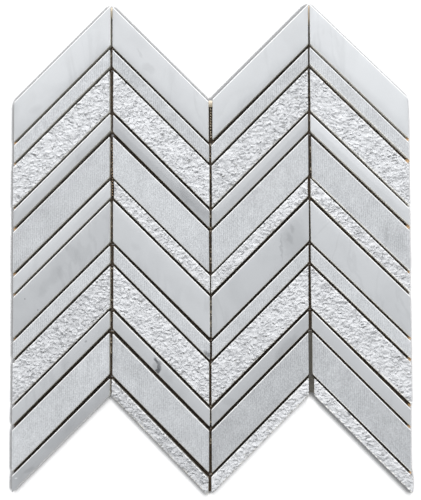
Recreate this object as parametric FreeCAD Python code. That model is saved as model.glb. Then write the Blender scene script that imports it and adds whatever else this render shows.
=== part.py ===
# Chevron wall tile: one mosaic sheet of mitred marble strips in zigzag columns, held on a glass-fibre net.
# Millimetres. X runs across the columns, Y up the sheet, Z out of its face. The net's underside is Z = 0.

import FreeCAD, Part
import math
import os
import random

from FreeCAD import Vector

# Layout of the sheet
COLUMNS = 4
ROWS = 12
COLUMN_WIDTH = 73.0
MITRE_DEG = 45.0
WIDE_STRIP = 22.0
NARROW_STRIP = 9.3
STRIP_JOINT = 1.8
COLUMN_JOINT = 2.0

# Finishes, repeating down a column from the top
FINISH_CYCLE = ("polished", "combed", "rough")
PLAIN_COLUMN = 1

# Strips: the split faces stand a little over the sawn ones, and rise and fall about that height
STRIP_THICKNESS = 9.5
ARRIS = 0.4
GROOVE_PITCH = 1.5
GROOVE_WIDTH = 0.9
GROOVE_DEPTH = 0.3
CLEFT_OVER = 0.4
CLEFT_RELIEF = 0.7
CLEFT_CELL = 6.5

# Laying by hand, as (column, row): how far right and down, and the turn in degrees, from that row to the next one
# named in its column. Each strip also has a little play about its place and in its length.
LAID = {
    (1, 1): (0.2, -0.2, 0.0),
    (1, 3): (0.0, 0.4, -0.2),
    (1, 4): (0.2, -0.3, -0.1),
    (1, 5): (0.2, 0.7, -0.3),
    (1, 10): (0.0, 0.5, -0.1),
    (1, 11): (-0.1, 1.6, 0.0),
    (1, 12): (0.1, 1.8, -0.4),
    (2, 1): (0.1, 0.2, -0.1),
    (2, 3): (0.5, 0.3, -0.1),
    (2, 5): (0.2, 0.7, 0.3),
    (2, 6): (0.7, 0.4, 0.2),
    (2, 8): (0.6, 0.6, -0.2),
    (2, 10): (0.5, 1.1, -0.2),
    (2, 11): (0.0, 1.7, -0.2),
    (2, 12): (-0.6, 2.8, -0.6),
    (3, 1): (0.2, -0.5, -0.2),
    (3, 2): (0.0, 0.5, 0.1),
    (3, 6): (-0.4, 0.2, 0.0),
    (3, 7): (0.1, 0.4, 0.0),
    (3, 8): (-0.3, 0.7, 0.0),
    (3, 10): (-0.4, 1.2, 0.2),
    (3, 11): (-0.6, 1.8, 0.3),
    (4, 1): (-0.1, -0.8, 0.5),
    (4, 3): (0.0, 0.4, 0.5),
    (4, 4): (0.0, 0.0, 0.8),
    (4, 5): (0.0, 0.9, 0.8),
    (4, 6): (-0.1, 0.1, 0.5),
    (4, 7): (0.0, 0.6, 0.7),
    (4, 10): (-0.2, 0.8, 0.0),
    (4, 12): (1.2, 1.8, -0.2),
}
LAYING_PLAY = 0.1
CUT_PLAY = 0.3

# Glass-fibre net: flat yarns, the level ones lying on the upright ones
NET_PITCH = 4.0
YARN_WIDTH = 0.9
YARN_THICKNESS = 0.25
NET_SETBACK = 1.2

# Sizes that follow from the ones above
MITRE = math.radians(MITRE_DEG)
COLUMN_RISE = COLUMN_WIDTH * math.tan(MITRE)
COLUMN_PITCH = COLUMN_WIDTH + COLUMN_JOINT
JOINT_DROP = STRIP_JOINT / math.cos(MITRE)
SHEET_WIDTH = COLUMNS * COLUMN_PITCH - COLUMN_JOINT
STONE_BACK = 2 * YARN_THICKNESS
SHORTEST_YARN = 2 * NET_PITCH


def is_wide(row):
    return row % 2 == 1


def strip_drop(row):
    """Length of a strip's mitred end, measured down the column."""
    width = WIDE_STRIP if is_wide(row) else NARROW_STRIP
    return width / math.cos(MITRE)


def finish_of(column, row):
    """The face finish at a place. The plain column has polished strips where the others have narrow rough ones."""
    finish = FINISH_CYCLE[(row - 1) % len(FINISH_CYCLE)]
    if finish == "rough" and column == PLAIN_COLUMN and not is_wide(row):
        return "polished"
    return finish


ARM_LENGTH = sum(strip_drop(row) for row in range(1, ROWS + 1)) + (ROWS - 1) * JOINT_DROP
SHEET_HEIGHT = ARM_LENGTH + COLUMN_RISE


class Place:
    """Where a strip is meant to lie: its lower left corner, its run along the column's slope and its mitred end."""

    def __init__(self, column, row, spare=0.0):
        rises = column % 2 == 1
        above = sum(strip_drop(r) + JOINT_DROP for r in range(1, row))
        top_left = SHEET_HEIGHT / 2 - (COLUMN_RISE if rises else 0)
        left = -SHEET_WIDTH / 2 + (column - 1) * COLUMN_PITCH
        full = Vector(COLUMN_WIDTH, COLUMN_RISE if rises else -COLUMN_RISE, 0)
        self.run = full * (1 + spare / COLUMN_WIDTH)
        self.corner = Vector(left, top_left - above - strip_drop(row), STONE_BACK) + (full - self.run) * 0.5
        self.end = Vector(0, strip_drop(row), 0)
        self.middle = self.corner + (self.run + self.end) * 0.5

    def point(self, along, across, height=0.0):
        """A point of the strip by its shares of the run and the end, and its height over the back."""
        return self.corner + self.run * along + self.end * across + Vector(0, 0, height)

    def back(self):
        """The corners of the strip's back, in order."""
        return [self.point(0, 0), self.point(1, 0), self.point(1, 1), self.point(0, 1)]


def face_through(points):
    return Part.Face(Part.makePolygon(points + points[:1]))


def polished_strip(place):
    """A sawn strip with eased arrises round its face."""
    solid = face_through(place.back()).extrude(Vector(0, 0, STRIP_THICKNESS))
    face = max(solid.Faces, key=lambda side: side.CenterOfMass.z)
    return solid.makeChamfer(ARRIS, face.Edges)


def combed_slab(place):
    """A slab wider than the strip, with V grooves sawn in its top that run straight up the sheet."""
    top = STONE_BACK + STRIP_THICKNESS
    left = place.corner.x - GROOVE_PITCH
    right = place.corner.x + place.run.x + GROOVE_PITCH
    low = place.corner.y - COLUMN_RISE - GROOVE_PITCH
    outline = [Vector(right, low, 0), Vector(left, low, 0), Vector(left, low, top)]
    grooves = math.floor((place.run.x - 2 * ARRIS - GROOVE_WIDTH) / GROOVE_PITCH) + 1
    first = place.middle.x - (grooves - 1) * GROOVE_PITCH / 2
    for n in range(grooves):
        middle = first + n * GROOVE_PITCH
        outline.append(Vector(middle - GROOVE_WIDTH / 2, low, top))
        outline.append(Vector(middle, low, top - GROOVE_DEPTH))
        outline.append(Vector(middle + GROOVE_WIDTH / 2, low, top))
    outline.append(Vector(right, low, top))
    length = 2 * COLUMN_RISE + place.end.y + 2 * GROOVE_PITCH
    return face_through(outline).extrude(Vector(0, length, 0))


def combed_strip(place):
    return polished_strip(place).common(combed_slab(place)).Solids[0]


def rough_strip(place, seed):
    """A strip with sawn sides and a split face: planar facets over a grid of uneven heights."""
    relief = random.Random(seed)
    cells_along = max(1, round(place.run.Length / CLEFT_CELL))
    cells_across = max(2, round(place.end.Length * math.cos(MITRE) / CLEFT_CELL))

    def cleft_point(i, j):
        height = STRIP_THICKNESS + CLEFT_OVER + relief.uniform(-1, 1) * CLEFT_RELIEF
        return place.point(i / cells_along, j / cells_across, height)

    grid = [[cleft_point(i, j) for j in range(cells_across + 1)] for i in range(cells_along + 1)]
    faces = [face_through(place.back())]
    for i in range(cells_along):
        for j in range(cells_across):
            near, far = grid[i][j], grid[i + 1][j + 1]
            faces.append(face_through([near, grid[i + 1][j], far]))
            faces.append(face_through([near, far, grid[i][j + 1]]))
    rims = (
        [line[0] for line in grid],
        grid[-1],
        [line[-1] for line in reversed(grid)],
        grid[0][::-1],
    )
    corners = place.back()
    for n, rim in enumerate(rims):
        faces.append(face_through([corners[(n + 1) % len(corners)], corners[n]] + rim))
    return Part.Solid(Part.Shell(faces))


def laid(column, row):
    """How far right and down the hand laid a strip, and its turn. A column past the named ones lies true."""
    named = [first for first in LAID if first[0] == column and first[1] <= row]
    return LAID[max(named)] if named else (0.0, 0.0, 0.0)


def lay(strip, place, laying, hand):
    """Sets a finished strip down: turned about its middle and moved off its place, with a little play."""
    right, down, turn = laying
    play = Vector(hand.uniform(-1, 1), hand.uniform(-1, 1), 0) * LAYING_PLAY
    strip.rotate(place.middle, Vector(0, 0, 1), turn)
    strip.translate(Vector(right, -down, 0) + play)
    return strip


def strips():
    """Every strip of the sheet by its node name."""
    made = {}
    for column in range(1, COLUMNS + 1):
        for row in range(1, ROWS + 1):
            seed = 100 * column + row
            hand = random.Random(seed)
            place = Place(column, row, hand.uniform(-1, 1) * CUT_PLAY)
            finish = finish_of(column, row)
            if finish == "polished":
                strip = polished_strip(place)
            elif finish == "combed":
                strip = combed_strip(place)
            else:
                strip = rough_strip(place, seed)
            width = "wide" if is_wide(row) else "narrow"
            made[f"strip_c{column}_r{row:02d}_{width}_{finish}"] = lay(strip, place, laid(column, row), hand)
    return made


def net_outline():
    """The zigzag that the net is trimmed to, just inside the stones."""
    half = SHEET_WIDTH / 2 - NET_SETBACK
    trim = NET_SETBACK / math.cos(MITRE)
    slope = math.tan(MITRE)
    turns = [-half] + [-SHEET_WIDTH / 2 + n * COLUMN_PITCH - COLUMN_JOINT / 2 for n in range(1, COLUMNS)] + [half]
    top = SHEET_HEIGHT / 2 + COLUMN_JOINT / 2 * slope - trim
    upper = []
    for n, x in enumerate(turns):
        fall = 0 if n % 2 else min(COLUMN_PITCH, abs(x - turns[n - 1 if n else 1])) * slope
        upper.append(Vector(x, top - fall, 0))
    drop = Vector(0, 2 * trim - ARM_LENGTH, 0)
    lower = [point + drop for point in reversed(upper)]
    return face_through(upper + lower).extrude(Vector(0, 0, STONE_BACK))


def yarns(outline, upright):
    """One layer of parallel yarns, cut off at the net's outline. A stub that crosses no other yarn falls away."""
    across, along = (SHEET_WIDTH, SHEET_HEIGHT) if upright else (SHEET_HEIGHT, SHEET_WIDTH)
    half_count = math.floor((across / 2 - NET_SETBACK - YARN_WIDTH / 2) / NET_PITCH)
    layer = []
    for n in range(-half_count, half_count + 1):
        side = n * NET_PITCH - YARN_WIDTH / 2
        if upright:
            yarn = Part.makeBox(YARN_WIDTH, along, YARN_THICKNESS, Vector(side, -along / 2, 0))
        else:
            yarn = Part.makeBox(along, YARN_WIDTH, YARN_THICKNESS, Vector(-along / 2, side, YARN_THICKNESS))
        layer += [piece for piece in yarn.common(outline).Solids if yarn_length(piece) > SHORTEST_YARN]
    return Part.makeCompound(layer)


def yarn_length(piece):
    return max(piece.BoundBox.XLength, piece.BoundBox.YLength)


def sheet():
    """All nodes, centred over the origin with the net's underside on Z = 0."""
    nodes = strips()
    outline = net_outline()
    nodes["net_upright_yarns"] = yarns(outline, upright=True)
    nodes["net_level_yarns"] = yarns(outline, upright=False)
    box = Part.makeCompound(list(nodes.values())).BoundBox
    for shape in nodes.values():
        shape.translate(Vector(-box.Center.x, -box.Center.y, 0))
    return nodes


os.makedirs("parts", exist_ok=True)
for name, shape in sheet().items():
    shape.exportStep(f"parts/{name}.step")
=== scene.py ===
import math
import random

import bmesh
import bpy
from mathutils import Matrix, Vector, noise
from mathutils.bvhtree import BVHTree


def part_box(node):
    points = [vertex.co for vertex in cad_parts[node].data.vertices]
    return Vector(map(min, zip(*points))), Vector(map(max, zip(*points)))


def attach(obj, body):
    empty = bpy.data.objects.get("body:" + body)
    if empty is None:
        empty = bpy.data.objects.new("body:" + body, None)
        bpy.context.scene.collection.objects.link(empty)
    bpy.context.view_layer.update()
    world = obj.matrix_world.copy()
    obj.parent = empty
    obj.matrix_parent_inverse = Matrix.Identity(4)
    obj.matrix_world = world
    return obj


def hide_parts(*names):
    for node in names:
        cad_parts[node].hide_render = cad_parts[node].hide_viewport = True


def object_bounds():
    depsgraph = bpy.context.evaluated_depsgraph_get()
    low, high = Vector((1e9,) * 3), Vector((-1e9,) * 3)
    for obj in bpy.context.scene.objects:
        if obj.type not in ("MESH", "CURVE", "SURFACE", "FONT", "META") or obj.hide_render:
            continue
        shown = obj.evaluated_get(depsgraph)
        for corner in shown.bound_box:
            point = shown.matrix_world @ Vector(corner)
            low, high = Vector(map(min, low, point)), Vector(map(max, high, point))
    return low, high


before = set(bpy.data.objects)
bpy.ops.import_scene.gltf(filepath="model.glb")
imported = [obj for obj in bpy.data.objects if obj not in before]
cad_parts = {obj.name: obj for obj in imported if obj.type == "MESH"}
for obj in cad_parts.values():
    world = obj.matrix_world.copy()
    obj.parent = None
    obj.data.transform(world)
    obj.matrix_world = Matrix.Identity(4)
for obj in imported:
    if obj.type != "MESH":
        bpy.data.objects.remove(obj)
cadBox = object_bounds()
mm = 0.001
noise.seed_set(1)                # else the noise vectors of the split faces differ from run to run


# The camera stands a little below the sheet's middle and to its right, as in the photograph
camera = {
    "aim": Vector((-0.2, -1.65, 10.0)) * mm,
    "distance": 1100 * mm,
    "below": 3.07,               # degrees
    "right": 2.10,
    "roll": -0.118,
    "pixel": 0.7511 * mm,        # what one pixel covers where it aims
    "pixelsHigh": 500,
}


def makeCamera():
    look = camera
    below, right = math.radians(look["below"]), math.radians(look["right"])
    away = Vector((math.sin(right) * math.cos(below), -math.sin(below), math.cos(right) * math.cos(below)))
    data = bpy.data.cameras.new("camera")
    data.sensor_width = 36
    data.lens = look["distance"] / look["pixel"] * data.sensor_width / look["pixelsHigh"]
    data.clip_start, data.clip_end = 0.05, 20
    eye = bpy.data.objects.new("camera", data)
    sideways = (-away).cross(Vector((0, 1, 0))).normalized()
    up = sideways.cross(-away)
    turn = Matrix((sideways, up, away)).transposed().to_4x4() @ Matrix.Rotation(math.radians(look["roll"]), 4, "Z")
    eye.matrix_world = Matrix.Translation(look["aim"] + away * look["distance"]) @ turn
    bpy.context.scene.collection.objects.link(eye)
    bpy.context.scene.camera = eye
    print("camera set")


# Soft boxes: a key beyond the top edge, one overhead that the polished stones mirror, and two weak ones
softBoxes = {
    "key": {"at": (0.0, 1.84, 1.54), "size": (1.6, 1.0), "power": 46},
    "overhead": {"at": (0.0, 0.75, 2.07), "size": (1.6, 0.82), "power": 9},
    "left": {"at": (-1.9, 0.2, 0.9), "size": (1.0, 1.0), "power": 5},
    "right": {"at": (1.9, 0.3, 0.9), "size": (1.0, 1.0), "power": 6},
}
room = {"colour": (0.97, 0.985, 1.0), "strength": 0.33}


def makeLights():
    for name, box in softBoxes.items():
        data = bpy.data.lights.new(name, "AREA")
        data.shape = "RECTANGLE"
        data.size, data.size_y = box["size"]
        data.energy = box["power"]
        lamp = bpy.data.objects.new(name, data)
        lamp.location = box["at"]
        lamp.rotation_euler = Vector(box["at"]).to_track_quat("Z", "Y").to_euler()
        bpy.context.scene.collection.objects.link(lamp)
    world = bpy.data.worlds.new("room")
    world.use_nodes = True
    sky = world.node_tree.nodes["Background"]
    sky.inputs["Color"].default_value = (*room["colour"], 1)
    sky.inputs["Strength"].default_value = room["strength"]
    bpy.context.scene.world = world
    bpy.context.scene.view_settings.view_transform = "Standard"
    print("lights set")


class Value:
    # one socket of a material: an expression on values adds its Math nodes
    def __init__(self, paint, socket):
        self.paint = paint
        self.socket = socket

    def math(self, operation, *others):
        return self.paint.node("Math", {"operation": operation}, dict(enumerate((self, *others))))

    def __add__(self, other):
        return self.math("ADD", other)

    def __radd__(self, other):
        return self.math("ADD", other)

    def __mul__(self, other):
        return self.math("MULTIPLY", other)

    def __rmul__(self, other):
        return self.math("MULTIPLY", other)

    def __sub__(self, other):
        return self.math("SUBTRACT", other)

    def __rsub__(self, other):
        return self.paint.node("Math", {"operation": "SUBTRACT"}, {0: other, 1: self})

    def __truediv__(self, other):
        return self.math("DIVIDE", other)

    def __pow__(self, other):
        return self.math("POWER", other)

    def between(self, low, high):
        # 0 below low, 1 above high and a smooth rise from one to the other
        settings = {"interpolation_type": "SMOOTHSTEP"}
        return self.paint.node("MapRange", settings, {"Value": self, "From Min": low, "From Max": high})


class Paint:
    # a material whose nodes are added by one method
    def __init__(self, name):
        self.material = bpy.data.materials.new(name)
        self.material.use_nodes = True
        self.tree = self.material.node_tree
        self.shader = self.tree.nodes["Principled BSDF"]
        self.here = self.node("TexCoord", {}, {}, "Object")

    def node(self, kind, settings, sockets, output=0):
        made = self.tree.nodes.new("ShaderNode" + kind)
        for name, setting in settings.items():
            setattr(made, name, setting)
        for name, value in sockets.items():
            self.feed(made.inputs[name], value)
        return Value(self, made.outputs[output])

    def feed(self, socket, value):
        if isinstance(value, Value):
            self.tree.links.new(value.socket, socket)
        else:
            socket.default_value = value

    def part(self, vector, axis):
        return self.node("SeparateXYZ", {}, {0: vector}, axis)

    def attribute(self, name):
        return self.node("Attribute", {"attribute_name": name}, {}, "Fac")

    def mapped(self, shift=(0, 0, 0), turn=0.0, stretch=(1, 1, 1)):
        rotation = (0, 0, math.radians(turn))
        sockets = {"Vector": self.here, "Location": shift, "Rotation": rotation, "Scale": stretch}
        return self.node("Mapping", {"vector_type": "POINT"}, sockets)

    def noise(self, vector, size, detail=3.0, roughness=0.5, distortion=0.0):
        sockets = {"Vector": vector, "Scale": 1 / size, "Detail": detail, "Roughness": roughness}
        return self.node("TexNoise", {"noise_dimensions": "3D"}, {**sockets, "Distortion": distortion})

    def mix(self, amount, first, second, blend="MIX"):
        settings = {"data_type": "RGBA", "blend_type": blend}
        return self.node("Mix", settings, {0: amount, 6: first, 7: second}, 2)

    def bump(self, height, depth, strength=1.0):
        return self.node("Bump", {}, {"Height": height, "Distance": depth, "Strength": strength})

    def finish(self, colour, roughness, normal=None, **constants):
        self.feed(self.shader.inputs["Base Color"], colour)
        self.feed(self.shader.inputs["Roughness"], roughness)
        if normal:
            self.feed(self.shader.inputs["Normal"], normal)
        for name, value in constants.items():
            self.shader.inputs[name.replace("_", " ")].default_value = value
        return self.material


# The marble: from a bluish white to a vein's grey, and how each finish shows it
marble = {
    "light": (0.75, 0.77, 0.792, 1),
    "dark": (0.13, 0.135, 0.145, 1),
    "tone": 0.195,
    "haze": 0.08,                # how grey the soft clouds go
    "hazeSize": 38 * mm,
    "veins": 0.06,
    "veinSize": 60 * mm,
    "grain": 0.03,
    "grainSize": 1.1 * mm,
    "fleckSize": 2.6 * mm,
}
finishes = {
    "polished": {"roughness": 0.17, "tone": 0.06, "relief": 0.004 * mm, "reliefSize": 0.8 * mm},
    "combed": {"roughness": 0.55, "tone": 0.02, "relief": 0.05 * mm, "reliefSize": 0.35 * mm,
               "crest": 9.95 * mm, "grooveDarkening": 0.04},       # colour darker in the grooves, below the crest
    "rough": {"roughness": 0.5, "tone": -0.15, "relief": 0.14 * mm, "reliefSize": 0.5 * mm,
              "light": (0.761, 0.771, 0.791, 1)},
}

# Stones greyer (above 0) or whiter than the rest, by column and row
stoneTones = {
    (1, 1): -0.02, (1, 4): 0.10, (1, 5): 0.07, (1, 7): 0.12, (1, 9): 0.05, (1, 10): 0.07, (1, 11): -0.04,
    (1, 12): 0.20, (2, 1): 0.03, (2, 2): 0.08, (2, 4): 0.22, (2, 6): 0.04, (2, 10): 0.09, (2, 11): 0.04,
    (2, 12): 0.15, (3, 1): 0.03, (3, 2): 0.06, (3, 3): 0.05, (3, 4): 0.13, (3, 5): 0.03, (3, 7): 0.08,
    (3, 10): 0.16, (3, 11): 0.13, (3, 12): -0.07, (4, 1): -0.08, (4, 4): -0.04, (4, 5): 0.04, (4, 6): 0.04,
    (4, 8): -0.03, (4, 10): 0.05, (4, 11): 0.11,
}

# Veins and stains that stand out: middle in millimetres, turn in degrees, then length and width in millimetres
marks = {
    (1, 1): [{"at": (-133, 106), "turn": 30, "long": 7, "wide": 3.5, "grey": 0.06}],
    (1, 5): [{"at": (-131, 24), "turn": 10, "long": 10, "wide": 7, "grey": 0.07, "flecks": 1.0}],
    (1, 7): [
        {"at": (-103.5, -4), "turn": -50, "long": 12, "wide": 5.5, "grey": 0.13, "flecks": 0.8},
        {"at": (-117, -20), "turn": 60, "long": 11, "wide": 6, "grey": 0.17, "flecks": 0.8},
        {"at": (-126, -30), "turn": 70, "long": 9, "wide": 4.5, "grey": 0.14, "flecks": 0.8},
        {"at": (-140.2, -38), "turn": 0, "long": 0.6, "wide": 0.5, "grey": 0.7},
        {"at": (-130.3, -46.3), "turn": 0, "long": 0.6, "wide": 0.5, "grey": 0.6},
    ],
    (1, 10): [
        {"at": (-94, -70), "turn": 40, "long": 1.6, "wide": 1.0, "grey": 0.3},
        {"at": (-110, -86), "turn": 75, "long": 9, "wide": 4, "grey": 0.08},
    ],
    (1, 12): [
        {"at": (-136.5, -166), "turn": 30, "long": 7, "wide": 2, "grey": 0.09},
        {"at": (-106.5, -133.5), "turn": 50, "long": 9, "wide": 3.5, "grey": 0.08, "flecks": 0.8},
        {"at": (-146.3, -172.2), "turn": 10, "long": 1.4, "wide": 0.7, "grey": -0.4},
    ],
    (2, 1): [
        {"at": (-53.5, 148), "turn": -60, "long": 6, "wide": 1.2, "grey": 0.10},
        {"at": (-46.6, 136.5), "turn": -40, "long": 7, "wide": 4, "grey": 0.10},
    ],
    (2, 4): [{"at": (-11.7, 35), "turn": -45, "long": 22, "wide": 7, "grey": 0.10}],
    (2, 7): [{"at": (-56.5, 1), "turn": -30, "long": 5.5, "wide": 3.5, "grey": 0.11, "flecks": 0.9}],
    (2, 8): [{"at": (-2.8, -79.8), "turn": -40, "long": 4.6, "wide": 3.0, "grey": 0.52}],
    (2, 10): [
        {"at": (-41.2, -84.4), "turn": -60, "long": 3.4, "wide": 1.5, "grey": 0.65},
        {"at": (-38.6, -88.5), "turn": -85, "long": 4.6, "wide": 2.0, "grey": 0.55},
        {"at": (-40.6, -93.0), "turn": 50, "long": 3.8, "wide": 2.3, "grey": 0.80},
        {"at": (-41.4, -90.0), "turn": -80, "long": 5.5, "wide": 3.4, "grey": 0.20},
        {"at": (-33, -96), "turn": -45, "long": 8, "wide": 4, "grey": 0.08},
    ],
    (3, 5): [{"at": (36, 31), "turn": 10, "long": 12, "wide": 6, "grey": 0.07, "flecks": 0.7}],
    (3, 7): [
        {"at": (62.5, 7), "turn": -85, "long": 21, "wide": 12, "grey": 0.11},
        {"at": (61.2, 14.5), "turn": -80, "long": 5, "wide": 1.8, "grey": 0.11},
        {"at": (59.4, 7), "turn": -68, "long": 6, "wide": 2.6, "grey": 0.09},
        {"at": (53, 0), "turn": -87, "long": 13, "wide": 1.2, "grey": 0.15},
    ],
    (3, 10): [{"at": (56, -76), "turn": 50, "long": 16, "wide": 6, "grey": 0.12}],
    (4, 5): [
        {"at": (137, 7), "turn": -60, "long": 16, "wide": 11, "grey": 0.17, "flecks": 0.8},
        {"at": (131.5, 8), "turn": 85, "long": 12, "wide": 2.2, "grey": 0.10},
    ],
    (4, 7): [{"at": (86, 16), "turn": 45, "long": 16, "wide": 1.0, "grey": 0.05}],
}


def markMask(paint, mark, wander):
    # a soft spot or streak, 1 in its middle and 0 outside, with an uneven edge
    turn = math.radians(mark["turn"])
    x = paint.part(wander, "X") - mark["at"][0] * mm
    y = paint.part(wander, "Y") - mark["at"][1] * mm
    along = (x * math.cos(turn) + y * math.sin(turn)) / (mark["long"] * mm)
    across = (y * math.cos(turn) - x * math.sin(turn)) / (mark["wide"] * mm)
    return (1 - (along * along + across * across)).between(0.0, 1.0)


def marbleFace(column, row, finish):
    # the face of one stone: each is cut from another place of the block
    cut = random.Random(31 * column + row)
    look, own = marble, finishes[finish]
    paint = Paint(f"marble_c{column}_r{row:02d}_{finish}")
    shift = (cut.uniform(-9, 9), cut.uniform(-9, 9), cut.uniform(-9, 9))
    block = paint.mapped(shift, cut.uniform(0, 360))
    streaked = paint.mapped(shift, cut.uniform(20, 70), (1, 0.35, 1))
    haze = paint.noise(block, look["hazeSize"], 3, 0.55, 0.6).between(0.42, 0.78)
    patch = paint.noise(block, look["veinSize"], 1).between(0.45, 0.62)
    crease = paint.noise(streaked, look["veinSize"] * 0.5, 4, 0.55, 0.9)
    veins = (1 - (crease - 0.5).math("ABSOLUTE") * 22).between(0.0, 1.0) * patch
    grain = paint.noise(block, look["grainSize"], 2, 0.6) - 0.5
    flecks = paint.noise(block, look["fleckSize"], 2, 0.7).between(0.66, 0.8)
    grey = haze * look["haze"] + veins * look["veins"] + grain * look["grain"]
    if finish == "combed":
        scratches = paint.noise(paint.mapped(shift, 0, (1, 0.02, 1)), 0.5 * mm, 2, 0.7)
        dust = paint.noise(block, 1.1 * mm, 2, 0.7) - 0.5
        mottle = paint.noise(block, 9 * mm, 3, 0.55) - 0.5
        chips = paint.noise(paint.mapped(shift, 40), 1.2 * mm, 2, 0.7).between(0.64, 0.74)
        valley = (own["crest"] - paint.part(paint.here, "Z")).between(0.0, 0.25 * mm)
        grey = grey + valley * own["grooveDarkening"] + (scratches - 0.5) * 0.02 + mottle * 0.26
        grey = grey - dust * 0.85 - chips * 0.14
    if finish == "rough":
        # painted light and shade of the break: its crests whiter and its hollows greyer, by the height kept in relief
        grey = grey - paint.attribute("relief") * 0.10 + flecks * 0.05
    for mark in marks.get((column, row), ()):
        drift = paint.noise(paint.mapped(shift), 4 * mm, 3, 0.6) - 0.5
        offset = drift * min(7.0, 0.7 * mark["long"]) * mm
        shifted = paint.node("CombineXYZ", {}, {0: offset, 1: offset, 2: 0.0})
        wander = paint.node("VectorMath", {"operation": "ADD"}, {0: paint.here, 1: shifted})
        stain = markMask(paint, mark, wander)
        if "flecks" in mark:
            stain = stain * (0.5 + flecks * mark["flecks"])
        grey = grey + stain * mark["grey"]
    tone = own["tone"] + stoneTones.get((column, row), 0) + cut.uniform(-0.012, 0.012)
    colour = paint.mix(grey + (tone + look["tone"]), own.get("light", look["light"]), look["dark"])
    relief = paint.noise(block, own["reliefSize"], 3, 0.65)
    roughness = own["roughness"] + haze * 0.05
    return paint.finish(colour, roughness, paint.bump(relief, own["relief"]), IOR=1.5)


# Sides and backs: sawn marble, darker towards the bottom. The walls of the last column and the ends in the upright
# joints are near white, painted light where little light reaches them
sawn = {
    "joint": {"top": (0.60, 0.59, 0.55, 1), "deep": (0.47, 0.43, 0.35, 1), "deepBelow": 4.5 * mm},
    # painted light: the last column's walls in the joints are near white, lighter than the marble, where little light
    # reaches
    "paintedLitWall": {"top": (0.93, 0.92, 0.88, 1), "deep": (0.90, 0.87, 0.80, 1), "deepBelow": 4.5 * mm},
    # painted light: the ends in the upright joints are near white, where little light reaches down the narrow joint
    "end": {"top": (0.88, 0.87, 0.82, 1), "deep": (0.86, 0.83, 0.76, 1), "deepBelow": 3.0 * mm},
    "outer": {"top": (0.60, 0.61, 0.62, 1), "deep": (0.36, 0.34, 0.30, 1), "deepBelow": 1.6 * mm},
    "back": {"top": (0.50, 0.505, 0.51, 1), "deep": (0.42, 0.40, 0.36, 1), "deepBelow": 0.4 * mm},
    "sawMarks": 2.2 * mm,
}


def sawnMarble(name):
    look = sawn[name]
    paint = Paint("sawn_" + name)
    height = paint.part(paint.here, "Z")
    blotch = paint.noise(paint.here, 7 * mm, 4, 0.6)
    depth = (1 - height / look["deepBelow"] + (blotch - 0.5) * 0.8).between(0.0, 1.0)
    streaks = paint.noise(paint.mapped((0, 0, 0), 25, (0.08, 1, 1)), sawn["sawMarks"], 3, 0.6)
    colour = paint.mix(depth, look["top"], look["deep"])
    shade = paint.mix(streaks.between(0.3, 0.8) * 0.12, colour, (0.2, 0.2, 0.2, 1))
    return paint.finish(shade, 0.6 + blotch * 0.1, paint.bump(streaks, 0.05 * mm), IOR=1.5)


# The upper arrises are whiter than the faces: bruised marble, and a painted highlight where the light from the top
# catches them
arris = {
    "light": (0.985, 0.99, 0.995, 1),
    "dark": (0.78, 0.79, 0.80, 1),
    "size": 2.2 * mm,
    "reach": 0.65 * mm,          # how far in from the stone's sides they are
}


def bruiseAndHighlightArris():
    # bruised white with a painted highlight, used on the upper arrises only
    paint = Paint("arris")
    worn = paint.noise(paint.here, arris["size"], 3, 0.6).between(0.35, 0.75)
    return paint.finish(paint.mix(worn * 0.6, arris["light"], arris["dark"]), 0.4 + worn * 0.2, IOR=1.5)


# The sheet's upper and lower rim are ground back a little
groundBack = 0.35 * mm

# Stones whose saw cuts fell short, in millimetres at the left and the right end, or long, where it is below 0
cutShort = {
    (1, 1): (0, -0.3), (2, 1): (-0.3, 0),
    (1, 3): (0, 0.5), (1, 5): (0, 0.5), (2, 5): (0.5, 0.5), (2, 6): (0.7, 0), (2, 7): (0, 0.3),
    (2, 8): (0.4, 0), (2, 9): (0.4, 0.6), (2, 11): (0.3, 0.3), (3, 1): (0.6, 0), (3, 6): (0, 0.3),
    (3, 8): (0.3, 0), (3, 11): (0.4, 0), (4, 5): (0.6, 0), (4, 11): (0.4, 0),
}


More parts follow.
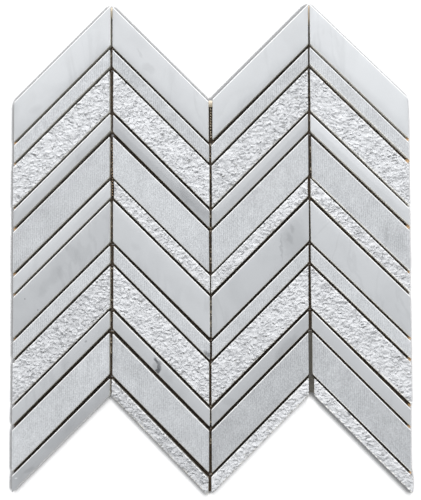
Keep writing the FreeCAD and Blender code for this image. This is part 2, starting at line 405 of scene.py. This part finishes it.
class Stone:
    # one strip of the sheet: its CAD node, where it lies and the finish of its face
    def __init__(self, node):
        _, column, row, self.width, self.finish = node.split("_")
        self.node = node
        self.column, self.row = int(column[1:]), int(row[1:])
        self.solid = bmesh.new()
        self.solid.from_mesh(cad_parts[node].data)
        bmesh.ops.remove_doubles(self.solid, verts=self.solid.verts, dist=0.001 * mm)
        self.back = min(v.co.z for v in self.solid.verts)
        corners = [v.co.copy() for v in self.solid.verts if v.co.z < self.back + 0.01 * mm]
        corners.sort(key=lambda corner: corner.x)
        self.left = sorted(corners[:2], key=lambda corner: corner.y)     # lower, upper
        self.right = sorted(corners[-2:], key=lambda corner: corner.y)
        self.run = (self.right[0] - self.left[0]).normalized()
        self.across = Vector((-self.run.y, self.run.x, 0))
        self.cut = random.Random(100 * self.column + self.row)
        self.shorten(*cutShort.get((self.column, self.row), (0, 0)))

    def shorten(self, atLeft, atRight):
        # the last few millimetres before an end are pressed together, so that its arris stays
        left, right = self.edges()[2:]
        for (corner, inward), cut in ((left, atLeft), (right, -atRight)):
            slide = self.run * cut * mm / self.run.x
            for v in self.solid.verts:
                v.co += slide * min(1.0, max(0.0, 1 - (v.co - corner).dot(inward) / (4 * mm)))
        self.left = [corner + self.run * atLeft * mm / self.run.x for corner in self.left]
        self.right = [corner - self.run * atRight * mm / self.run.x for corner in self.right]
        for end in (self.left, self.right):
            length = (end[1] - end[0]).length
            ground = groundBack / abs(self.run.x)
            if self.row == 1:
                end[1] = end[1].lerp(end[0], ground / length)
            if self.row == 12:
                end[0] = end[0].lerp(end[1], ground / length)

    def place(self, along, across):
        low = self.left[0].lerp(self.right[0], along)
        high = self.left[1].lerp(self.right[1], along)
        return low.lerp(high, across)

    def edges(self):
        # the four sides as a point and the direction into the stone
        inward = Vector((0, 0, 1)).cross((self.left[1] - self.left[0]).normalized())
        return [(self.left[0], self.across), (self.left[1], -self.across),
                (self.left[0], -inward), (self.right[0], inward)]

    def depth(self, point):
        # how far inside its nearest side a point lies
        return min((point - corner).to_2d().dot(inward.to_2d()) for corner, inward in self.edges())


stones = [Stone(node) for node in sorted(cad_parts) if node.startswith("strip_")]
columns = max(stone.column for stone in stones)
rows = max(stone.row for stone in stones)
print("stones read:", len(stones))


def finishObject(mesh, name, materials, slot, *nodes):
    data = bpy.data.meshes.new(name)
    mesh.to_mesh(data)
    mesh.free()
    for material in materials:
        data.materials.append(material)
    piece = bpy.data.objects.new(name, data)
    bpy.context.scene.collection.objects.link(piece)
    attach(piece, "root")
    if nodes:
        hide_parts(*nodes)
    return piece


def paintSides(mesh, stone):
    # material 0 is the face, 1 a side in a joint, 2 a side on the sheet's edge, 3 the back, 4 the upper arris with
    # its painted highlight and 5 an end in an upright joint. The lower arris takes the joint's colour, painted shade
    # on the side away from the light
    mesh.normal_update()
    for face in mesh.faces:
        normal = face.normal
        middle = face.calc_center_median()
        atHead = (stone.left[1] - middle).dot(stone.across) < arris["reach"]
        atFoot = (middle - stone.left[0]).dot(stone.across) < arris["reach"]
        if normal.z < -0.7:
            face.material_index = 3
        # an upper arris takes the painted highlight, a lower one falls to the joint's colour below as painted shade
        elif normal.z > (0.95 if atFoot else 0.3):
            face.material_index = 4 if atHead else 0
        else:
            outside = (
                (stone.column == 1 and normal.x < -0.95)
                or (stone.column == columns and normal.x > 0.95)
                or (stone.row == 1 and normal.y > 0.3)
                or (stone.row == rows and normal.y < -0.3)
            )
            inside = 5 if abs(normal.x) > 0.95 else 1
            face.material_index = 2 if outside else inside


def faceOutwards(mesh, faces):
    # normals out of a closed shape, whichever way the recalculation left them
    bmesh.ops.recalc_face_normals(mesh, faces=faces)
    if sum(face.calc_center_median().dot(face.normal) * face.calc_area() for face in faces) < 0:
        bmesh.ops.reverse_faces(mesh, faces=faces)


def smoothExcept(mesh, limit):
    # smooth shading, broken along the edges sharper than limit, in degrees
    for face in mesh.faces:
        face.smooth = True
    for edge in mesh.edges:
        edge.smooth = edge.calc_face_angle(math.pi) < math.radians(limit)


# Polished stones: eased edges, and a face that falls a little towards them
polished = {
    "corner": 0.70 * mm,         # the mitre's points are blunted
    "arris": 0.42 * mm,
    "arrisSteps": 3,
    "fall": 0.30 * mm,           # how far the face drops at its edges
    "topFall": 0.42 * mm,        # the same on the top row
    "fallReach": 7.0 * mm,       # how far in the drop begins
    "rings": (0.65, 1.2, 2.0, 3.2, 4.7, 6.8),        # millimetres in from each side where the face is cut for it
}


def cutAlong(mesh, point, normal):
    geometry = mesh.verts[:] + mesh.edges[:] + mesh.faces[:]
    bmesh.ops.bisect_plane(mesh, geom=geometry, dist=0.0001 * mm, plane_co=point, plane_no=normal)


def block(stone, height):
    # the stone's parallelogram, raised to its height
    mesh = bmesh.new()
    corners = [stone.left[0], stone.right[0], stone.right[1], stone.left[1]]
    base = mesh.faces.new([mesh.verts.new(corner) for corner in corners])
    grown = bmesh.ops.extrude_face_region(mesh, geom=[base])
    top = [part for part in grown["geom"] if isinstance(part, bmesh.types.BMVert)]
    bmesh.ops.translate(mesh, verts=top, vec=(0, 0, height))
    faceOutwards(mesh, mesh.faces)
    return mesh


def bluntCorners(mesh):
    upright = [edge for edge in mesh.edges if (edge.verts[0].co - edge.verts[1].co).to_2d().length < 0.001 * mm]
    bmesh.ops.bevel(mesh, geom=upright, offset=polished["corner"], offset_type="OFFSET", segments=2,
                    profile=0.5, affect="EDGES", material=-1)


def polishedStone(stone):
    look = polished
    top = max(v.co.z for v in stone.solid.verts)
    mesh = block(stone, top - stone.back)
    bluntCorners(mesh)
    rim = [edge for edge in mesh.edges if all(v.co.z > top - 0.01 * mm for v in edge.verts)]
    bmesh.ops.bevel(mesh, geom=rim, offset=look["arris"], offset_type="OFFSET", segments=look["arrisSteps"],
                    profile=0.5, affect="EDGES", material=-1)
    for corner, inward in stone.edges():
        for ring in look["rings"]:
            cutAlong(mesh, corner + inward * ring * mm, inward)
    lean = stone.cut.uniform(-0.002, 0.002)
    fall = look["topFall"] if stone.row == 1 else look["fall"]
    for v in mesh.verts:
        if v.co.z > top - 2 * look["arris"]:
            reach = max(0.0, 1 - max(0.0, stone.depth(v.co)) / look["fallReach"])
            v.co.z -= fall * reach * reach + abs(lean) * 5 * mm
            v.co.z += lean * (v.co - stone.place(0.5, 0.5)).dot(stone.across)
    smoothExcept(mesh, 40)
    return mesh


# Combed stones: the saw's grooves, worn and chipped along their crests
combed = {
    "rowStep": 0.9 * mm,
    "wear": 0.05 * mm,
    "wearSize": 1.6 * mm,
    "sway": 0.05 * mm,
    "swaySize": 14 * mm,
}


def combedStone(stone):
    look = combed
    mesh = stone.solid.copy()
    bmesh.ops.dissolve_limit(mesh, angle_limit=math.radians(0.5), verts=mesh.verts, edges=mesh.edges)
    bluntCorners(mesh)
    top = max(v.co.z for v in mesh.verts)
    width = (stone.left[1] - stone.left[0]).dot(stone.across)
    for corner, inward in stone.edges():
        cutAlong(mesh, corner + inward * arris["reach"], inward)
    steps = round(width / look["rowStep"])
    for step in range(1, steps):
        cutAlong(mesh, stone.left[0] + stone.across * width * step / steps, stone.across)
    for v in mesh.verts:
        if v.co.z > top - 1 * mm and stone.depth(v.co) > look["sway"]:
            place = v.co.copy()
            v.co.z -= look["wear"] * abs(noise.fractal(place / look["wearSize"], 1.0, 2.0, 3))
            v.co.x += look["sway"] * noise.noise(place / look["swaySize"])
    bmesh.ops.triangulate(mesh, faces=[face for face in mesh.faces if len(face.verts) > 4])
    smoothExcept(mesh, 24)
    return mesh


# Split stones: a fine grid over the face, broken into waves and crystal facets over the solid's own cleft
split = {
    "grid": 0.36 * mm,
    "below": 0.35,               # millimetres that the break lies under the solid's facets on average
    "waves": ((5.2, 0.45), (2.7, 0.58)),             # size and height, in millimetres
    "facets": ((1.8, 1.0), (0.9, 0.95)),             # size in millimetres and slope
    "stretch": 0.68,             # the ridges run across the sheet
    "warp": 1.0,
    "spall": 0.30 * mm,          # how far the broken edge steps in
    "spallSize": 2.4 * mm,
    "sawnTo": 1.7 * mm,          # how far below the face the flat sawn side begins
}


def broken(place):
    # the height of the break at a place, both in millimetres
    rise = sum(height * noise.noise(place / size) for size, height in split["waves"])
    for size, slope in split["facets"]:
        centre = noise.voronoi(place / size)[1][0]
        rise += size * slope * noise.noise_vector(centre * 5.3).dot(place / size - centre)
    return rise


def splitStone(stone):
    look = split
    top = max(v.co.z for v in stone.solid.verts)
    tree = BVHTree.FromBMesh(stone.solid)
    length = (stone.right[0] - stone.left[0]).length
    width = (stone.left[1] - stone.left[0]).length
    mesh = bmesh.new()
    bmesh.ops.create_grid(mesh, x_segments=round(length / look["grid"]),
                          y_segments=round(width * 0.72 / look["grid"]), size=0.5)
    side, end = stone.right[0] - stone.left[0], stone.left[1] - stone.left[0]
    middle = stone.place(0.5, 0.5)
    shear = Matrix(((side.x, end.x, 0, middle.x), (side.y, end.y, 0, middle.y), (0, 0, 1, 0), (0, 0, 0, 1)))
    bmesh.ops.transform(mesh, matrix=shear, verts=mesh.verts)
    seed = Vector((stone.cut.uniform(0, 50), stone.cut.uniform(0, 50), stone.cut.uniform(0, 50)))
    relief = mesh.verts.layers.float.new("relief")
    for v in mesh.verts:
        inside = v.co.to_2d().lerp(middle.to_2d(), 0.0005)
        hit = tree.ray_cast(Vector((*inside, top + 1)), Vector((0, 0, -1)))[0]
        v.co.z = hit.z if hit else top - mm
    inner = [v for v in mesh.verts if not v.is_boundary]
    for _ in range(5):
        bmesh.ops.smooth_vert(mesh, verts=inner, factor=0.5, use_axis_z=True)
    rim = [v for v in mesh.verts if v.is_boundary]
    for v in mesh.verts:
        place = Vector((v.co.x * look["stretch"], v.co.y, 0)) / mm + seed
        rise = broken(place + noise.noise_vector(place / 3.1) * look["warp"])
        # the break's height, kept for the painted light and shade in the face's colour
        v[relief] = rise / 0.4
        v.co.z = min(v.co.z + (rise - look["below"]) * mm, top - 0.01 * mm)
    for v in rim:
        chip = max(0.0, noise.noise(v.co / look["spallSize"] + seed) + 0.15)
        v.co += (middle - v.co).normalized().to_2d().to_3d() * chip * look["spall"] * 0.6
        v.co.z -= chip * look["spall"]
    outline = [edge for edge in mesh.edges if edge.is_boundary]
    for level in (top - look["sawnTo"], stone.back):
        grown = bmesh.ops.extrude_edge_only(mesh, edges=outline)
        fresh = [part for part in grown["geom"] if isinstance(part, bmesh.types.BMVert)]
        outline = [part for part in grown["geom"] if isinstance(part, bmesh.types.BMEdge) and part.is_boundary]
        for v in fresh:
            v.co.z = level
            v.co = onOutline(stone, v.co)
    bmesh.ops.holes_fill(mesh, edges=outline, sides=0)
    faceOutwards(mesh, mesh.faces)
    smoothExcept(mesh, 35)
    return mesh


def onOutline(stone, point):
    # the nearest point on the stone's sawn outline
    corner, inward = min(stone.edges(), key=lambda edge: (point - edge[0]).to_2d().dot(edge[1].to_2d()))
    return point - inward * (point - corner).to_2d().dot(inward.to_2d())


makers = {"polished": polishedStone, "combed": combedStone, "rough": splitStone}


def makeStones():
    joint, paintedLitWall = sawnMarble("joint"), sawnMarble("paintedLitWall")
    others = [sawnMarble("outer"), sawnMarble("back"), bruiseAndHighlightArris(), sawnMarble("end")]
    for stone in stones:
        mesh = makers[stone.finish](stone)
        paintSides(mesh, stone)
        face = marbleFace(stone.column, stone.row, stone.finish)
        name = f"stone_c{stone.column}_r{stone.row:02d}_{stone.finish}"
        # the last column's walls in the joints take the painted light
        wall = paintedLitWall if stone.column == columns else joint
        finishObject(mesh, name, [face, wall, *others], stone.finish + "_marble", stone.node)
    print("stones made")


# The net: each flat yarn goes over one crossing yarn and under the next
net = {
    "pitch": 4.0 * mm,
    "weave": 0.11 * mm,
    "thickness": 0.26 * mm,
    "fibre": 0.25 * mm,
    "light": (0.78, 0.70, 0.56, 1),
    "dark": (0.50, 0.40, 0.27, 1),
}


def netMaterial():
    look = net
    paint = Paint("glass_fibre")
    strands = paint.noise(paint.here, look["fibre"], 3, 0.6)
    patch = paint.noise(paint.here, 9 * mm, 3, 0.5)
    colour = paint.mix(patch.between(0.3, 0.7) * 0.6 + strands * 0.3, look["light"], look["dark"])
    return paint.finish(colour, 0.45 + strands * 0.2, paint.bump(strands, 0.05 * mm))


def makeNet():
    look = net
    paint = netMaterial()
    for node, axis, other, phase in (("net_upright_yarns", 1, 0, 0), ("net_level_yarns", 0, 1, 1)):
        low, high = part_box(node)
        mesh = bmesh.new()
        mesh.from_mesh(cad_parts[node].data)
        bmesh.ops.remove_doubles(mesh, verts=mesh.verts, dist=0.001 * mm)
        bmesh.ops.dissolve_limit(mesh, angle_limit=math.radians(0.5), verts=mesh.verts, edges=mesh.edges)
        normal = Vector((0, 0, 0))
        normal[axis] = 1
        first = math.ceil(low[axis] / look["pitch"])
        last = math.floor(high[axis] / look["pitch"])
        for step in range(2 * first, 2 * last + 1):
            cutAlong(mesh, normal * step * look["pitch"] / 2, normal)
        middle = (low.z + high.z) / 2
        both = look["thickness"]
        for v in mesh.verts:
            yarn = round(v.co[other] / look["pitch"])
            phaseAt = v.co[axis] / look["pitch"]
            wave = math.cos(math.pi * phaseAt) * (-1) ** (yarn + phase)
            edge = abs(v.co[other] - yarn * look["pitch"])
            level = look["weave"] * wave
            thick = both * 0.5 * (1 if v.co.z > middle else -1)
            v.co.z = 0.25 * mm + level + thick
        smoothExcept(mesh, 35)
        finishObject(mesh, node.replace("_yarns", ""), [paint], "net", node)
    print("net made")


# Glue: a dark film under every joint, and beads of it pressed up between the stones
glue = {
    "under": 0.10 * mm,
    "level": 0.50 * mm,          # over the net, so that it hides the yarns, but less in the upright joints
    "uprightLevel": 0.36 * mm,
    "risen": {(3, 11): 2.4 * mm, (3, 12): 3.0 * mm},     # right of which stones it stands higher
    "edge": 0.06 * mm,
    "reach": 0.35 * mm,          # how far it goes under the stones
    "short": 0.45 * mm,          # how far it stays inside the sheet's edge
    "junction": 1.1 * mm,        # how far it goes under them beside the upright joints
    "lumps": 0.30 * mm,
    "lumpSize": 3.0 * mm,
    "step": 1.2 * mm,
    "dark": (0.042, 0.027, 0.015, 1),
    "brown": (0.13, 0.083, 0.045, 1),
    "olive": (0.125, 0.117, 0.10, 1),        # where it stands high
}

# The beads by the row above their joint: how high they reach, as a share of the stones. The top joints' beads are
# given by how far down each goes, how high it reaches at the top and at its foot, and how pale it is
beads = {
    "left": {1: 0.93, 2: 0.90, 3: 0.80, 4: 0.88, 5: 0.86, 6: 0.80, 7: 0.55},
    "right": {1: 0.95, 2: 0.93, 4: 0.86, 5: 0.88, 7: 0.90, 8: 0.85, 9: 0.80, 10: 0.88, 11: 0.85},
    "peaks": {
        1: {"long": 7.0 * mm, "high": 0.93, "foot": 0.40, "pale": 1.0},
        2: {"long": 1.8 * mm, "high": 0.95, "foot": 0.80, "pale": 1.0},
        3: {"long": 14 * mm, "high": 0.97, "foot": 0.25, "pale": 0.65},
    },
    # dots of glue that came up through the net in an upright joint: beside which rows, how high and how pale
    "dots": {
        1: {"rows": (5, 6), "high": 0.66, "pale": 0.3, "aside": 0.45 * mm},
        2: {"rows": (1, 1), "high": 0.86, "pale": 1.0, "aside": 0.0},
    },
    "dotPitch": 2.1 * mm,
    "dotRadius": 0.38 * mm,
    "tan": (0.55, 0.33, 0.15, 1),
    "cream": (0.80, 0.70, 0.56, 1),
    "deep": (0.10, 0.06, 0.03, 1),
    "size": 0.9 * mm,
}


def glueMaterial():
    look = glue
    paint = Paint("glue")
    blotch = paint.noise(paint.here, 2.5 * mm, 4, 0.6)
    brown = paint.mix(blotch.between(0.35, 0.75), look["dark"], look["brown"])
    high = paint.part(paint.here, "Z").between(1.0 * mm, 2.2 * mm)
    return paint.finish(paint.mix(high, brown, look["olive"]), 0.5, paint.bump(blotch, 0.2 * mm))


def beadMaterial():
    look = beads
    paint = Paint("glue_bead")
    blotch = paint.noise(paint.here, 0.8 * mm, 3, 0.6)
    pale = paint.mix(paint.attribute("pale"), look["tan"], look["cream"])
    deep = (1 - paint.part(paint.here, "Z") / (5.5 * mm) + (blotch - 0.5) * 0.5).between(0.0, 0.9)
    return paint.finish(paint.mix(deep, pale, look["deep"]), 0.35, paint.bump(blotch, 0.15 * mm))


def glueBed(mesh, corners, level):
    # a film of glue over the quadrangle from corners, low at its rims and closed all round
    look = glue
    low, high = (corners[0], corners[1]), (corners[3], corners[2])
    length = (low[1] - low[0]).length
    made = bmesh.ops.create_grid(mesh, x_segments=max(4, round(length / look["step"])), y_segments=4, size=0.5)
    for v in made["verts"]:
        share, off = v.co.x + 0.5, v.co.y
        v.co = low[0].lerp(low[1], share).lerp(high[0].lerp(high[1], share), off + 0.5)
        lump = look["lumps"] * (noise.fractal(v.co / look["lumpSize"], 1.0, 2.0, 2) + 0.4)
        v.co.z = level + max(0.0, lump) + look["edge"] * 4 * off * off
    faces = list({face for v in made["verts"] for face in v.link_faces})
    grown = bmesh.ops.extrude_face_region(mesh, geom=faces)
    for part in grown["geom"]:
        if isinstance(part, bmesh.types.BMVert):
            part.co.z = look["under"]
    faces += [part for part in grown["geom"] if isinstance(part, bmesh.types.BMFace)]
    sides = {face for v in made["verts"] for face in v.link_faces}
    faceOutwards(mesh, list(sides.union(faces)))


def addBead(mesh, start, end, radius, tops, pale):
    # a ridge of glue from start to end, rounded over and lumpy, that fills its joint up to tops at its two ends
    length = (end - start).length + 2 * radius
    along = (end - start).normalized()
    aside = Vector((-along.y, along.x, 0))
    made = bmesh.ops.create_icosphere(mesh, subdivisions=3 if length < 5 * mm else 4, radius=1.0)
    layer = mesh.verts.layers.float["pale"]
    for v in made["verts"]:
        share = 0.5 + 0.5 * v.co.x
        high = tops[0] + (tops[1] - tops[0]) * share
        lump = 1 + 0.3 * noise.noise(v.co * 1.7 + start / mm)
        up = 0.5 + 0.5 * v.co.z
        wide = math.copysign(abs(v.co.y) ** 0.5, v.co.y) * radius * 1.1
        v.co = (start + end) / 2 + along * v.co.x * length / 2 + aside * wide * lump
        v.co.z = glue["level"] + up ** 0.6 * high * (0.9 + 0.1 * lump)
        v[layer] = pale
    faceOutwards(mesh, list({face for v in made["verts"] for face in v.link_faces}))


def makeBeads(byPlace):
    look = beads
    mesh = bmesh.new()
    mesh.verts.layers.float.new("pale")
    for column, side in ((1, "left"), (columns, "right")):
        for row, share in look[side].items():
            upper, lower = byPlace[column, row], byPlace[column, row + 1]
            if column == 1:
                end, inwards = (upper.left[0] + lower.left[1]) / 2, upper.run
            else:
                end, inwards = (upper.right[0] + lower.right[1]) / 2, -upper.run
            gap = (upper.left[0] - lower.left[1]).dot(upper.across)
            height = share * 9.5 * mm
            start = end + inwards * (look["size"] + 0.2 * mm)
            addBead(mesh, start, start + inwards * 0.8 * mm, gap * 0.55, (height, height * 0.6), 0.15)
    for column, bead in look["peaks"].items():
        here, beside = byPlace[column, 1], byPlace[column + 1, 1]
        start = (here.right[1] + beside.left[1]) / 2 + Vector((0, -1.3 * mm, 0))
        end = start + Vector((0, -bead["long"], 0))
        gap = beside.left[1].x - here.right[1].x
        addBead(mesh, start, end, gap * 0.55, (bead["high"] * 9.5 * mm, bead["foot"] * 9.5 * mm), bead["pale"])
    for column, dots in look["dots"].items():
        first, last = (byPlace[column, row] for row in dots["rows"])
        beside = byPlace[column + 1, dots["rows"][0]]
        line = (first.right[1] + beside.left[1]) / 2
        for step in range(3, int((first.right[1] - last.right[0]).length / look["dotPitch"])):
            sway = Vector((0.12 * noise.noise(Vector((step, column, 0)) * 1.7), 0, 0)) * mm
            start = line + sway + Vector((dots["aside"], -step * look["dotPitch"], 0))
            high = dots["high"] * 9.5 * mm * (0.85 + 0.3 * noise.noise(Vector((column, step, 0)) * 2.3))
            addBead(mesh, start, start - Vector((0, 0.1 * mm, 0)), look["dotRadius"], (high, high), dots["pale"])
    for v in mesh.verts:
        v.co.x = min(max(v.co.x, cadBox[0][0] + 0.1 * mm), cadBox[1][0] - 0.1 * mm)
    smoothExcept(mesh, 60)
    finishObject(mesh, "glue_beads", [beadMaterial()], "net")


def makeGlue():
    look = glue
    mesh = bmesh.new()
    byPlace = {(stone.column, stone.row): stone for stone in stones}
    for column in range(1, columns + 1):
        startShort = look["short"] if column == 1 else -look["reach"]
        endShort = look["short"] if column == columns else -look["reach"]
        for row in range(1, rows):
            upper, lower = byPlace[column, row], byPlace[column, row + 1]
            out = upper.across * look["reach"]
            start, end = upper.run * startShort, upper.run * endShort
            glueBed(mesh, [lower.left[1] - out + start, lower.right[1] - out - end,
                           upper.right[0] + out - end, upper.left[0] + out + start], look["level"])
    for column in range(1, columns):
        for row in range(1, rows + 1):
            here, beside = byPlace[column, row], byPlace[column + 1, row]
            level = look["risen"].get((column, row), look["uprightLevel"])
            out = Vector((look["edge"] if level > look["level"] else look["junction"], 0, 0))
            top = Vector((0, -look["short"] - 1.2 * mm if row == 1 else look["junction"], 0))
            foot = Vector((0, look["short"] + 1.2 * mm if row == rows else -look["junction"], 0))
            glueBed(mesh, [here.right[0] - out + foot, beside.left[0] + out + foot,
                           beside.left[1] + out + top, here.right[1] - out + top], level)
    smoothExcept(mesh, 50)
    finishObject(mesh, "glue", [glueMaterial()], "net")
    makeBeads(byPlace)
    print("glue made")


# The floor is a plain pale sheet under the net, darker only where the stones' feet shade it
floorLook = {
    "size": 7.5,
    "drop": 0.2 * mm,
    "colour": (0.93, 0.93, 0.93, 1),
    "shade": (0.2, 0.2, 0.205, 1),
    "shading": 3.9,
    "shadeReach": 5.0 * mm,
    "leaning": (0.42, -0.42, 0.82),      # the shade falls mostly to the left and the top
    "glow": 0.6,
}


def makeFloor():
    look = floorLook
    mesh = bmesh.new()
    bmesh.ops.create_grid(mesh, x_segments=1, y_segments=1, size=look["size"] / 2)
    bmesh.ops.translate(mesh, verts=mesh.verts, vec=(0, 0, -look["drop"]))
    data = bpy.data.meshes.new("floor")
    mesh.to_mesh(data)
    mesh.free()
    floor = bpy.data.objects.new("floor", data)
    bpy.context.scene.collection.objects.link(floor)
    paint = Paint("floor")
    leaning = paint.node("CombineXYZ", {}, dict(enumerate(look["leaning"])))
    nearby = paint.node("AmbientOcclusion", {"samples": 8}, {"Distance": look["shadeReach"], "Normal": leaning}, "AO")
    colour = paint.mix(1 - (1 - nearby) * look["shading"], look["shade"], look["colour"])
    paint.feed(paint.shader.inputs["Emission Color"], colour)
    data.materials.append(paint.finish(colour, 0.9, Emission_Strength=look["glow"]))


makeCamera()
makeLights()
makeFloor()
makeStones()
makeNet()
makeGlue()
